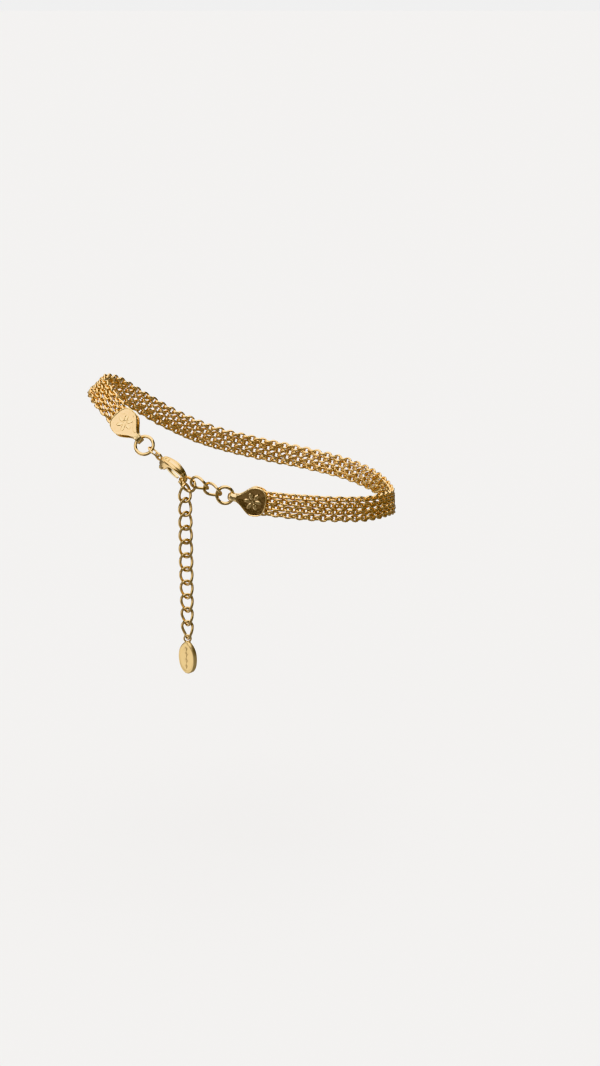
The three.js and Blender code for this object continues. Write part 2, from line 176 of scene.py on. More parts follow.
def wire_loop(centres, radius, sides):
    """Grid on a closed loop of round wire: at each point of the loop a circle, square to the loop,
    that starts on the side away from the loop's middle."""
    along = unit(np.roll(centres, -1, axis=0) - np.roll(centres, 1, axis=0))
    away = centres - centres.mean(axis=0)
    away = unit(away - along * (away * along).sum(axis=1, keepdims=True))
    side = np.cross(along, away)
    angle = even_turns(sides)[None, :, None]
    return centres[:, None] + radius * (np.cos(angle) * away[:, None] + np.sin(angle) * side[:, None])


def oval(half_length, half_width, steps):
    """Points of an oval in the x-y plane: x = half length cos t, y = half width sin t"""
    t = even_turns(steps)
    return np.stack([half_length * np.cos(t), half_width * np.sin(t), 0 * t], axis=1)


def ring_skin(radius, wire, steps=72, sides=16):
    """Round ring of round wire in the x-y plane"""
    return shell(wire_loop(oval(radius, radius, steps), wire / 2, sides), close_rows=True)


def repeated(template, centres, axes):
    """Copies of a closed wire's grid. Copy k has its middle at centres[k], and the columns of
    axes[k] are the directions of its own x, y and z."""
    rows, sides = template.shape[:2]
    flat = template.reshape(-1, 3)
    points = np.einsum("kij,mj->kmi", axes, flat) + centres[:, None]
    faces = turned_outwards(flat, grid_faces(rows, sides, close_rows=True))
    offsets = np.arange(len(centres))[:, None, None] * len(flat)
    return points.reshape(-1, 3), (faces[None] + offsets).reshape(-1, 4)


def axes_from(x_axis, y_axis):
    """Turned axes as columns: x as given, y as near to the given one as may be, z = x cross y"""
    x = unit(np.asarray(x_axis, float))
    y = np.asarray(y_axis, float)
    y = unit(y - x * (x @ y))
    return np.stack([x, y, np.cross(x, y)], axis=1)


def placed(skin, origin, axes):
    """A skin turned to these axes and then moved to this origin"""
    points, faces = skin
    return points @ axes.T + np.asarray(origin), faces


# Meshes and pieces


def close_poles(mesh):
    """Merges points that lie at one place, so that poles and seams are closed."""
    work = bmesh.new()
    work.from_mesh(mesh)
    bmesh.ops.remove_doubles(work, verts=work.verts, dist=1e-7)
    work.to_mesh(mesh)
    work.free()


def skin_mesh(name, skin, painted_shade=None):
    """Mesh of a skin in millimetres. The optional point attribute says how much painted shade darkens
    each point.
    """
    points, faces = skin
    mesh = bpy.data.meshes.new(name)
    mesh.from_pydata((points * MM).tolist(), [], faces.tolist())
    if painted_shade is not None:
        layer = mesh.attributes.new("painted_shade", "FLOAT", "POINT")
        layer.data.foreach_set("value", np.asarray(painted_shade, np.float32))
    close_poles(mesh)
    return mesh


def scene_object(name, mesh):
    """Puts a mesh into the scene."""
    thing = bpy.data.objects.new(name, mesh)
    bpy.context.scene.collection.objects.link(thing)
    return thing


def add_piece(name, mesh, finish, node, body="anklet"):
    """Adds a smooth piece that rides on a body and stands for a CAD node."""
    mesh.shade_smooth()
    mesh.materials.append(finish)
    piece = scene_object(name, mesh)
    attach(piece, body)
    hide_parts(node)


# Finishes


class Value:
    """A number in a finish. Arithmetic on it adds Math nodes."""

    def __init__(self, finish, socket):
        self.finish = finish
        self.socket = socket

    def _maths(self, operation, first, second):
        return self.finish.node("Math", {"operation": operation}, {0: first, 1: second}).value()

    def __add__(self, other):
        return self._maths("ADD", self, other)

    __radd__ = __add__

    def __sub__(self, other):
        return self._maths("SUBTRACT", self, other)

    def __rsub__(self, other):
        return self._maths("SUBTRACT", other, self)

    def __mul__(self, other):
        return self._maths("MULTIPLY", self, other)

    __rmul__ = __mul__


class Node:
    """One node of a finish, with its outputs by name or number"""

    def __init__(self, finish, node):
        self.finish = finish
        self.node = node

    def value(self, output=0):
        return Value(self.finish, self.node.outputs[output])

    def out(self, output=0):
        return self.node.outputs[output]


class Finish:
    """The nodes of a material or of the world"""

    def __init__(self, name, kind="materials"):
        self.block = getattr(bpy.data, kind).new(name)
        self.block.use_nodes = True
        self.tree = self.block.node_tree
        self.tree.nodes.clear()

    def node(self, kind, settings=None, inputs=None):
        """Adds a node of a kind, sets its settings, then gives its sockets values or links."""
        node = self.tree.nodes.new("ShaderNode" + kind)
        for setting, value in (settings or {}).items():
            setattr(node, setting, value)
        for socket, value in (inputs or {}).items():
            if isinstance(value, Value):
                value = value.socket
            if isinstance(value, bpy.types.NodeSocket):
                self.tree.links.new(value, node.inputs[socket])
            else:
                node.inputs[socket].default_value = value
        return Node(self, node)

    def noise(self, size, detail, roughness=0.5, stretch=(1, 1, 1)):
        """Cloudy pattern whose patches are about size millimetres across"""
        place = self.node("TexCoord").out("Object")
        stretched = self.node("Mapping", {}, {"Vector": place, "Scale": stretch}).out()
        return self.node("TexNoise", {}, {
            "Vector": stretched,
            "Scale": 1 / (size * MM),
            "Detail": detail,
            "Roughness": roughness,
        }).value("Fac")

    def mixed(self, amount, first, second):
        """Colour that goes from the first to the second as amount goes from 0 to 1. The Mix node's
        sockets for colours are its numbers 6 and 7, and 2 among its outputs."""
        return self.node("Mix", {"data_type": "RGBA"}, {0: amount, 6: first, 7: second}).out(2)

    def ramp(self, x, low, high):
        """Smooth step from 0 at low to 1 at high"""
        limits = {"Value": x, "From Min": low, "From Max": high}
        return self.node("MapRange", {"interpolation_type": "SMOOTHSTEP"}, limits).value()


# Dark brown mixed into the finishes as painted shade: in the caps' field round the rosette and on the
# tag's relief slopes
PAINTED_SHADE_COLOUR = (0.31, 0.155, 0.088, 1)
# Sizes of the patterns in the plating: drift of the colour, polish marks, grain and hammer marks
DRIFT_SIZE = 2.6
MARK_SIZE = 0.5
MARK_STRETCH = (1, 1, 2.5)
GRAIN_SIZE = 0.12
HAMMER_SIZE = 1.1
DRIFT_AMOUNT = 0.5
GLOSS_RANGE = 0.12
GLOSS_LIFT = 0.05
GRAIN_HEIGHT = 0.004


def gold_finish(name, colour, deep, roughness, hammer=0.0, painted_shade=False):
    """Gold plating: the colour drifts a little, polish marks vary the gloss, and fine grain and
    soft hammer marks bend the surface. Where the mesh carries it, painted shade darkens the colour."""
    finish = Finish(name)
    drift = finish.noise(DRIFT_SIZE, 2)
    marks = finish.noise(MARK_SIZE, 3, 0.6, MARK_STRETCH)
    surface = finish.mixed(drift * DRIFT_AMOUNT, colour, deep)
    if painted_shade:
        # Painted shade: a point attribute mixes the colour towards the dark brown
        painted_shade_amount = finish.node("Attribute", {"attribute_name": "painted_shade"}).value("Fac")
        surface = finish.mixed(painted_shade_amount, surface, PAINTED_SHADE_COLOUR)
    height = finish.noise(GRAIN_SIZE, 2) * GRAIN_HEIGHT + marks * (2 * GRAIN_HEIGHT)
    if hammer:
        height = height + finish.noise(HAMMER_SIZE, 1) * hammer
    bump = finish.node("Bump", {}, {"Strength": 1.0, "Distance": MM, "Height": height})
    shader = finish.node("BsdfPrincipled", {}, {
        "Base Color": surface,
        "Metallic": 1.0,
        "Roughness": marks * GLOSS_RANGE + (roughness - GLOSS_LIFT),
        "Normal": bump.out(),
    })
    finish.node("OutputMaterial", {}, {"Surface": shader.out()})
    return finish.block


POLISHED = gold_finish("polished_gold_plate", (0.80, 0.59, 0.30, 1), (0.71, 0.47, 0.20, 1), 0.14)
CHAIN_GOLD = gold_finish("fine_chain_gold", (0.98, 0.70, 0.34, 1), (0.90, 0.57, 0.21, 1), 0.18)
STAMPED = gold_finish("stamped_gold_plate", (0.94, 0.72, 0.40, 1), (0.84, 0.58, 0.27, 1), 0.24,
                      hammer=0.13, painted_shade=True)
TAG_GOLD = gold_finish("tag_gold", (0.95, 0.72, 0.36, 1), (0.88, 0.61, 0.27, 1), 0.33,
                       hammer=0.02, painted_shade=True)
LEVER_GOLD = gold_finish("lever_gold", (0.86, 0.70, 0.42, 1), (0.70, 0.54, 0.28, 1), 0.22)

# Where the two ends of the band are


def band_frame(along, tilt):
    """Outward from the ankle and across the band, upwards, for a band that runs along a direction
    and whose face leans up by tilt degrees: level and upright directions, mixed by cosine and sine"""
    level = unit(np.cross((0.0, 0.0, 1.0), along))
    upright = np.cross(along, level)
    lean = np.radians(tilt)[..., None]
    cos, sin = np.cos(lean), np.sin(lean)
    return level * cos + upright * sin, upright * cos - level * sin


def end_frame(ring):
    """Directions of the cap that hangs on a ring, and the middle of its fold, which lies on the
    ring's wire towards the band"""
    to_mouth = unit(np.array(ring["to_mouth"]))
    outward, across = band_frame(to_mouth * ring["travel"], np.array(ring["tilt"]))
    fold = np.array(ring["centre"]) + to_mouth * (ring["outer"] - RING_WIRE) / 2
    return {"to_mouth": to_mouth, "outward": outward, "across": across, "fold": fold}


LEFT = end_frame(LEFT_RING)
RIGHT = end_frame(RIGHT_RING)

# Band of four trace chains

SAMPLES_PER_SPAN = 40
TRACE_PITCH = 1.83
TRACE_LENGTH = 3.3
TRACE_WIDTH = 2.56
TRACE_WIRE = 0.76
# Points along a link's loop and round its wire
TRACE_STEPS = 12
TRACE_SIDES = 6

# How each chain's links lie, from the top chain down: their roll about the chain and how far it
# sways, both in degrees, and the phase, a share of half a link's pitch by which the links are moved
# along the chain. The sway is moved with it.
CHAIN_ROWS = [
    {"roll": 53, "phase": 0.0, "sway": 6},
    {"roll": 50, "phase": 0.35, "sway": 7},
    {"roll": 47, "phase": 0.8, "sway": 7},
    {"roll": 33, "phase": 0.55, "sway": 5},
]
SWAY_LENGTH = 9
SWAY_SHIFT = 5
# Chance turns of a link about the chain and out of line, in degrees. They are larger by the
# looseness up to the first of two lengths from the left cap, and no longer from the second on.
TURN_SPREAD = 3
TIP_SPREAD = 2.2
LOOSENESS = 1.5
LOOSE_LENGTHS = (8, 45)


def strand_paths():
    """The middle lines of the four chains and, at each of their points, the way across the band.
    Each station is moved across the band, and a smooth curve is laid through each row's stations."""
    in_cap = np.linspace(CAP_CHAIN_START, CAP_CHAIN_END, 3)
    ends = [end["fold"] + in_cap[:, None] * end["to_mouth"] for end in (LEFT, RIGHT)]
    middle = np.vstack([ends[0], BAND_STATIONS[:, :3], ends[1][::-1]])
    tilt = np.concatenate([[LEFT_RING["tilt"]] * 3, BAND_STATIONS[:, 3], [RIGHT_RING["tilt"]] * 3])
    squeeze = np.ones(len(middle))
    squeeze[:3] = squeeze[-3:] = MOUTH_SQUEEZE
    curve = spline(middle, SAMPLES_PER_SPAN)
    along = unit(np.gradient(curve, axis=0)[::SAMPLES_PER_SPAN])
    _, across = band_frame(along, tilt)
    rows = []
    for row in range(STRANDS):
        offset = ((STRANDS - 1) / 2 - row) * STRAND_PITCH
        rows.append(spline(middle + across * (offset * squeeze)[:, None], SAMPLES_PER_SPAN))
    return rows, unit(rows[0] - rows[-1])


def trace_link():
    """One link of round wire, bent to an oval: x along the chain, y across the oval."""
    loop = oval((TRACE_LENGTH - TRACE_WIRE) / 2, (TRACE_WIDTH - TRACE_WIRE) / 2, TRACE_STEPS)
    return wire_loop(loop, TRACE_WIRE / 2, TRACE_SIDES)


def trace_chain(path, across, roll, phase, sway):
    """Links at even distances along the path, each turned a quarter about the path from the last.
    To that come the roll, a sway that follows the sine of the distance, and chance turns."""
    count = int(round(lengths_along(path)[-1] / TRACE_PITCH))
    pitch = lengths_along(path)[-1] / count
    at = (np.arange(count - 1) + 0.5 + 0.5 * phase) * pitch
    centre = at_lengths(path, at, path)
    along = unit(at_lengths(path, at + pitch / 2, path) - at_lengths(path, at - pitch / 2, path))
    upwards = at_lengths(path, at, across)
    upwards = unit(upwards - along * (upwards * along).sum(axis=1, keepdims=True))
    outward = np.cross(along, upwards)
    near, far = LOOSE_LENGTHS
    looseness = 1 + LOOSENESS * smooth_step(-at, -far, -near)
    turn = roll + 90 * (np.arange(len(at)) % 2) + sway * np.sin(at / SWAY_LENGTH + SWAY_SHIFT * phase)
    turn = np.radians(turn + rng.normal(0, TURN_SPREAD, len(at)) * looseness)[:, None]
    wide = np.cos(turn) * upwards + np.sin(turn) * outward
    tip = np.radians(rng.normal(0, TIP_SPREAD, len(at)) * looseness)[:, None]
    x = unit(np.cos(tip) * along + np.sin(tip) * wide)
    y = unit(wide - x * (wide * x).sum(axis=1, keepdims=True))
    axes = np.stack([x, y, np.cross(x, y)], axis=2)
    return repeated(trace_link(), centre, axes)


paths, band_across = strand_paths()
for row, lie in enumerate(CHAIN_ROWS):
    chain = skin_mesh(f"trace_chain_{row + 1}", trace_chain(paths[row], band_across, **lie))
    add_piece(f"trace_chain_{row + 1}", chain, CHAIN_GOLD, f"strand_{row + 1}")

# End caps

# Points that draw the outline's flare and its round far end: distance from the fold, half width
CAP_FLARE = [(CAP_NECK_END, CAP_NECK), (2.8, CAP_NECK + 0.15),
             (4.4, CAP_HALF_WIDTH), (CAP_WIDEST_AT, CAP_HALF_WIDTH)]
CAP_FAR_END = [(CAP_WIDEST_AT, CAP_HALF_WIDTH), (CAP_LENGTH - 1.1, CAP_HALF_WIDTH),
               (CAP_LENGTH, 3.4), (CAP_LENGTH, 0.0)]
# Where the side view's slope from the plate to the fold bends, and a place inside the cap
CAP_SLOPE_BEND = 1.6
CAP_INSIDE = (3.0, 0.0)

RIM_WIDTH = 0.4
RIM_HEIGHT = 0.22
# The rim, the dish and the rosette begin between these distances from the fold
FRONT_STARTS = (0.9, 1.5)
DISH_DEPTH = 0.1
DISH_SLOPE = 2.2
NECK_BULGE_ENDS = (1.0, 2.6)
# How far inside the rim the rosette reaches its full height, and the field its full painted shade
ROSETTE_FADE = 0.3
FIELD_FADE = 0.2
FIELD_UNDER_RIM = 0.05
# Heights of the rosette between which the field's painted shade ends
FIELD_FOOT = 0.01
FIELD_END = 0.12

ROSETTE_AT = CAP_WIDEST_AT - 0.2
PETALS = 6
PETAL_HEIGHT = 0.17
PETAL_DISTANCE = 1.62
PETAL_HALF_LENGTH = 1.05
PETAL_HALF_WIDTH = 0.52
PETAL_SLOPE = (-0.05, 0.45)
VEIN_SHARE = 0.25
VEIN_HALF_WIDTH = 0.16
VEIN_HALF_BOTTOM = 0.02
VEIN_SLOPE = (0.1, 0.5)
BOSS_SHARE = 0.8
BOSS_RADIUS = 0.55
BOSS_TOP_RADIUS = 0.15

# How the two caps differ: height of the rosette as a share, height of the bulge on the neck, and
# how much painted shade darkens the field round the rosette
CAPS = [
    {"side": "left", "end": LEFT, "relief": 0.55, "neck_bulge": 0.0, "painted_field_shade": 0.25},
    {"side": "right", "end": RIGHT, "relief": 1.0, "neck_bulge": 0.3, "painted_field_shade": 0.55},
]


def cap_edge(count):
    """Half outline of the cap beyond its neck, as distances from the fold and half widths: the
    flare and the round far end, each a drawn curve of count points"""
    t = np.linspace(0, 1, count)
    return np.vstack([drawn_curve(CAP_FLARE, t), drawn_curve(CAP_FAR_END, t)[1:]])


def cap_half_width(u):
    """Half width of the outline at distances u from the fold, straight between the edge's points"""
    edge = cap_edge(120)
    return np.interp(u, edge[:, 0], edge[:, 1])


def cap_outline():
    """Outline of the front plate and its neck, for distances from their edge"""
    neck = np.linspace(-0.5, CAP_NECK_END, 12)[:-1]
    edge = np.vstack([np.stack([neck, np.full(len(neck), CAP_NECK)], axis=1), cap_edge(60)])
    return np.vstack([edge, edge * (1, -1)])


def rosette(u, w):
    """Height of a rosette: a low boss in its middle, and round it petals whose height is a smooth
    step of 1 - (along / half length)^2 - (beside / half width)^2, with a vein sunk in each"""
    x, y = u - ROSETTE_AT, w
    boss = smooth_step(-np.hypot(x, y), -BOSS_RADIUS, -BOSS_TOP_RADIUS)
    height = BOSS_SHARE * PETAL_HEIGHT * boss
    for turn in even_turns(PETALS):
        along = x * np.cos(turn) + y * np.sin(turn) - PETAL_DISTANCE
        beside = -x * np.sin(turn) + y * np.cos(turn)
        inside = 1 - (along / PETAL_HALF_LENGTH)**2 - (beside / PETAL_HALF_WIDTH)**2
        vein = smooth_step(-np.abs(beside), -VEIN_HALF_WIDTH, -VEIN_HALF_BOTTOM)
        vein = VEIN_SHARE * vein * smooth_step(inside, *VEIN_SLOPE)
        height = height + PETAL_HEIGHT * (smooth_step(inside, *PETAL_SLOPE) - vein)
    return height


def cap_side_view():
    """Middle of the folded sheet, seen from the side, as distances u from the fold and heights n:
    the flat front plate from its far edge, a slope that bends down to the fold with the weights
    (1 - t)^2, 2 (1 - t) t and t^2, half a circle, and the same way back below. Also the direction
    out of the cap, square to the path."""
    mid = CAP_HALF_HEIGHT - CAP_SHEET / 2
    fold = CAP_FOLD + CAP_SHEET / 2
    far_end = CAP_WIDEST_AT + (CAP_LENGTH - CAP_WIDEST_AT) * np.sin(np.linspace(np.pi / 2, 0, 46))
    plate = np.concatenate([far_end, np.linspace(CAP_WIDEST_AT, CAP_PLATE_START, 34)[1:]])
    t = np.linspace(0, 1, 26)[1:]
    slope_u = (1 - t)**2 * CAP_PLATE_START + 2 * (1 - t) * t * CAP_SLOPE_BEND
    slope_n = (1 - t)**2 * mid + 2 * (1 - t) * t * mid + t**2 * fold
    arc = np.linspace(np.pi / 2, np.pi, 9)[1:]
    front_u = np.concatenate([plate, slope_u, fold * np.cos(arc)])
    front_n = np.concatenate([np.full(len(plate), mid), slope_n, fold * np.sin(arc)])
    u = np.concatenate([front_u, front_u[-2::-1]])
    n = np.concatenate([front_n, -front_n[-2::-1]])
    path = np.stack([u, n], axis=1)
    direction = unit(np.gradient(path, axis=0))
    outward = np.stack([direction[:, 1], -direction[:, 0]], axis=1)
    outward *= np.sign((outward * (path - CAP_INSIDE)).sum(axis=1, keepdims=True) + 1e-9)
    outward[:len(plate)] = (0, 1)
    outward[-len(plate):] = (0, -1)
    return u, n, outward


def sheet_section(half):
    """Closed section of the sheet where the outline is half wide: across the front, half a circle
    round one edge, back, and half a circle round the other. Gives each point's place across, the
    half thickness, and the share of it by which the point is lifted out. The points across follow
    a sine, so they are closer together near the edges."""
    sheet = np.minimum(CAP_SHEET / 2, half)
    bend = np.linspace(-np.pi / 2, np.pi / 2, 9)[1:-1]
    flat = np.sin(np.linspace(-np.pi / 2, np.pi / 2, 81))
    level = np.zeros(len(flat))
    run = np.concatenate([flat, np.ones(len(bend)), flat[::-1], -np.ones(len(bend))])
    edge = np.concatenate([level, np.cos(bend[::-1]), level, -np.cos(bend)])
    lift = np.concatenate([level + 1, np.sin(bend[::-1]), level - 1, np.sin(bend)])
    w = np.maximum(half - sheet, 0)[:, None] * run + sheet[:, None] * edge
    return w, sheet[:, None], lift


def folded_cap(relief, neck_bulge):
    """Sheet that is folded round a ring: the side view is carried across by the sheet's section. On
    the front are a rim with a half-round section, a shallow dish and the rosette, and the neck
    bulges by 1 - (w / half width)^2. Also gives how much painted shade darkens each point: 1 in
    the field round the rosette, 0 on the rim, the petals and the back."""
    u, n, outward = cap_side_view()
    half = cap_half_width(u)
    w, sheet, lift = sheet_section(half)
    u, n, half = u[:, None], n[:, None], half[:, None]
    out = np.clip(lift, 0, 1)
    front = out * (n > 0) * smooth_step(u, *FRONT_STARTS)

    outline = cap_outline()
    from_edge = np.hypot(u[..., None] - outline[:, 0], w[..., None] - outline[:, 1]).min(axis=-1)
    rim = RIM_HEIGHT * np.sqrt(np.clip(1 - (2 * from_edge / RIM_WIDTH - 1)**2, 0, 1))
    figure = relief * rosette(u, w) * smooth_step(from_edge, RIM_WIDTH, RIM_WIDTH + ROSETTE_FADE)
    dish = -DISH_DEPTH * smooth_step(from_edge, RIM_WIDTH, DISH_SLOPE)
    full, gone = NECK_BULGE_ENDS
    bulge = neck_bulge * np.clip(1 - (w / np.maximum(half, CAP_NECK))**2, 0, 1)
    bulge = bulge * smooth_step(-u, -gone, -full) * out
    away = sheet * lift + (rim + figure + dish) * front + bulge
    points = np.stack([u + outward[:, :1] * away, n + outward[:, 1:] * away, w], axis=2)

    field = smooth_step(from_edge, RIM_WIDTH - FIELD_UNDER_RIM, RIM_WIDTH + FIELD_FADE)
    field = field * (1 - smooth_step(figure, FIELD_FOOT, FIELD_END * relief))
    return shell(points), (field * front).ravel()


for cap in CAPS:
    end = cap["end"]
    cap_skin, cap_shaded_field = folded_cap(cap["relief"], cap["neck_bulge"])
    cap_skin = placed(cap_skin, end["fold"], axes_from(end["to_mouth"], end["outward"]))
    # The field round the rosette gets painted shade, stronger on the right cap than on the left
    cap_mesh = skin_mesh(f"folded_cap_{cap['side']}", cap_skin, cap_shaded_field * cap["painted_field_shade"])
    add_piece(f"folded_cap_{cap['side']}", cap_mesh, STAMPED, f"end_cap_{cap['side']}")

# Jump rings

for side, ring, end in (("left", LEFT_RING, LEFT), ("right", RIGHT_RING, RIGHT)):
    ring_shape = ring_skin((ring["outer"] - RING_WIRE) / 2, RING_WIRE)
    ring_shape = placed(ring_shape, ring["centre"], axes_from(end["to_mouth"], end["across"]))
    add_piece(f"ring_{side}", skin_mesh(f"ring_{side}", ring_shape), POLISHED,
              f"jump_ring_{side}")

# Extender

LINK_WIRE = 0.9
LINK_HALF_WIDTH = 1.8
LINK_HALF_LENGTH = 2.72
LINK_TWIST = 0.62

# The first links, from the right ring to the one that the clasp holds: the middle, the direction
# of the link's length and the way that its flat side faces
EXTENDER_START = [
    {"centre": (-8.16, -29.35, -6.7), "line": (0.9, -0.28, -0.33), "face": (-0.37, -0.89, -0.26)},
    {"centre": (-12.07, -28.28, -5.14), "line": (0.88, -0.06, -0.47), "face": (-0.27, -0.87, -0.41)},
    {"centre": (-15.64, -27.4, -5.24), "line": (0.67, -0.48, -0.56), "face": (0.1, 0.81, -0.58)},
]
# The hanging links turn evenly about the line on which they hang, in degrees from facing the front
HANGING_COUNT = 11
HANGING_FIRST = (-16.53, -28.31, -7.93)
HANGING_PITCH = 4.31
HANGING_TURNS = (-33.3, 36.0)


def curb_skin():
    """Curb link: an oval of round wire whose ends are twisted out of its plane, each way in turn:
    x = width sin t, y = twist sin 2t, z = length cos t."""
    t = even_turns(64)
    x, y, z = LINK_HALF_WIDTH * np.sin(t), LINK_TWIST * np.sin(2 * t), LINK_HALF_LENGTH * np.cos(t)
    return shell(wire_loop(np.stack([x, y, z], axis=1), LINK_WIRE / 2, 14), close_rows=True)


def extender_links():
    """Middle, length and face of every link: the first ones, and those that hang in a straight line"""
    links = list(EXTENDER_START)
    for i, turn in enumerate(np.radians(np.linspace(*HANGING_TURNS, HANGING_COUNT))):
        centre = np.array(HANGING_FIRST) - (0, 0, i * HANGING_PITCH)
        face = (-math.sin(turn), -math.cos(turn), 0)
        links.append({"centre": centre, "line": (0, 0, 1), "face": face})
    return links


for number, link in enumerate(extender_links(), 1):
    z = unit(np.array(link["line"], float))
    y = np.array(link["face"], float)
    y = unit(y - z * (y @ z))
    link_skin = placed(curb_skin(), link["centre"], np.stack([np.cross(y, z), y, z], axis=1))
    add_piece(f"curb_link_{number:02d}", skin_mesh(f"curb_link_{number:02d}", link_skin), POLISHED,
              f"link_{number:02d}")

# Clasp, in its own frame: x from the ring's wire to the tip, y out of the back, z across

CLASP_ALONG = (0.722, -0.3385, -0.6034)
CLASP_BACK = (0.29, -0.6438, 0.7082)
# How far round the ring the clasp hangs, from the side that faces away from the cap
CLASP_TURN = math.radians(17)
PIVOT = (5.9, -0.5)
CAST_VOXEL = 0.06
POLISH_STEPS = 4

# Claw: each row has a point of the back, a point of the throat side and the half width there
CLAW_ROWS = np.array([
    (4.05, 0.95, 4.05, -0.95, 0.85),
    (4.8, 1.65, 4.75, -1.6, 1.22),
    (5.9, 2.2, 6.0, -1.85, 1.47),
    (6.9, 2.57, 6.9, -1.5, 1.55),
    (7.5, 2.72, 7.3, -0.2, 1.55),
    (7.95, 2.8, 7.6, 0.9, 1.53),
    (8.5, 2.88, 8.45, 1.64, 1.51),
    (9.8, 2.95, 10.2, 1.87, 1.49),
    (11.3, 2.8, 11.3, 1.8, 1.3),
    (12.5, 2.5, 12.2, 1.62, 1.08),
    (13.4, 1.93, 12.8, 1.28, 0.93),
    (13.95, 1.3, 13.2, 0.9, 0.82),
    (14.3, 0.6, 13.36, 0.35, 0.76),
    (14.4, -0.1, 13.38, -0.15, 0.74),
    (14.25, -0.75, 13.2, -0.6, 0.76),
    (13.85, -1.3, 12.9, -0.95, 0.82),
    (13.1, -1.8, 12.6, -1.06, 0.95),
    (12.3, -1.93, 12.25, -1.1, 1.0),
])
EYE_AT = 2.95
EYE_RADIUS = 1.15
EYE_WIRE = 0.7
EYE_HALF_DEPTH = 0.41
# The lever's slot in the claw, from x, to x, from y, to y, and its half width
LEVER_SLOT = (4.75, 8.3, -3.4, 0.55, 0.675)
CLAW_PIN_HOLE = 0.46
CLAW_PIN_HOLE_HALF = 2.5
# Two grooves follow the back between these rows of the claw, each at a share of the half width
GROOVED_ROWS = slice(1, 12)
GROOVE_RADIUS = 0.3
GROOVE_LIFT = 0.04
GROOVE_AT = 0.5
BACK_PITS = [(5.45, 2.05), (6.5, 2.5)]
PIT_RADIUS = 0.36

# Lever and its stem: each row has a point of the upper edge, a point of the lower edge and the half
# width there
LEVER_ROWS = np.array([
    (5.9, 0.25, 5.9, -1.3, 0.5),
    (7.0, -0.5, 6.9, -1.5, 0.5),
    (8.4, -0.95, 8.2, -1.8, 0.5),
    (10.0, -1.05, 10.0, -1.8, 0.48),
    (11.68, -0.95, 11.7, -1.48, 0.45),
])
STEM_ROWS = np.array([
    (5.98, -0.9, 5.18, -0.8, 0.46),
    (5.75, -1.7, 5.0, -1.75, 0.42),
    (5.46, -2.6, 4.74, -2.8, 0.4),
    (5.36, -3.1, 4.84, -3.1, 0.36),
])
LEVER_HUB_RADIUS = 0.85
LEVER_HUB_HALF = 0.5
LEVER_HUB_EDGE = 0.12
LEVER_PIN_HOLE = 0.48
LEVER_PIN_HOLE_HALF = 1.5
HOLE_EDGE = 0.02
KNOB = (5.1, -3.1)
KNOB_RADIUS = 0.85

RIVET_RADIUS = 0.36
RIVET_HALF = 1.35
RIVET_EDGE = 0.14

# Oval link between the ring and the claw's eye
OVAL_LINK_AT = 0.88
OVAL_LINK_HALF_LENGTH = 2.02
OVAL_LINK_HALF_WIDTH = 1.24
OVAL_LINK_WIRE = 0.56
OVAL_LINK_ROLL = math.radians(28.7)


def swept_bar(rows, per_span, sharpness, around=40):
    """Bar between two edge curves. At each place the section is a rectangle with round corners that
    spans from one curve to the other and reaches the half width on both sides: |a|^s + |b|^s = 1,
    where s is the sharpness. The bar closes over its first and its last three points."""
    path = spline(rows, per_span)
    outer, inner, half = path[:, 0:2], path[:, 2:4], path[:, 4:5]
    angle = even_turns(around)
    power = 2 / sharpness
    a = np.sign(np.cos(angle)) * np.abs(np.cos(angle))**power
    b = np.sign(np.sin(angle)) * np.abs(np.sin(angle))**power
    middle, reach = (outer + inner) / 2, (outer - inner) / 2
    ends = np.concatenate([[0.0, 0.7, 0.95], np.ones(len(path) - 6), [0.95, 0.7, 0.0]])[:, None]
    xy = middle[:, None] + (reach * ends)[:, None] * a[None, :, None]
    z = (half * ends) * b
    return shell(np.concatenate([xy, z[..., None]], axis=2))


def rounded_disc(x, y, radius, half_width, edge, around=48):
    """Disc across z whose rim is rounded: a half outline turned about the disc's own axis"""
    corner = np.linspace(0, np.pi / 2, 5)
    core, flat = radius - edge, half_width - edge
    r = np.concatenate([[0, core], core + edge * np.sin(corner), core + edge * np.cos(corner), [0]])
    z = np.concatenate([[half_width] * 2, flat + edge * np.cos(corner), -flat - edge * np.sin(corner),
                        [-half_width]])
    r, z, t = r[:, None], z[:, None], even_turns(around)
    return shell(np.stack([x + r * np.cos(t), y + r * np.sin(t), z + 0 * t], axis=2))


def ball(x, y, radius):
    """Ball in the clasp's middle plane: circles whose radius follows the sine of the angle from the
    pole, at heights that follow its cosine"""
    from_pole = np.linspace(0, np.pi, 17)[:, None]
    t = even_turns(32)[None]
    r, z = radius * np.sin(from_pole), radius * np.cos(from_pole)
    return shell(np.stack([x + r * np.cos(t), y + r * np.sin(t), z + 0 * t], axis=2))


def box_skin(x0, x1, y0, y1, half):
    """Box with its eight corners at x0 or x1, y0 or y1, and half below or above the middle plane"""
    points = np.array([(x, y, z) for x in (x0, x1) for y in (y0, y1) for z in (-half, half)])
    faces = np.array([(0, 1, 3, 2), (4, 6, 7, 5), (0, 4, 5, 1), (2, 3, 7, 6), (0, 2, 6, 4), (1, 5, 7, 3)])
    return points, faces


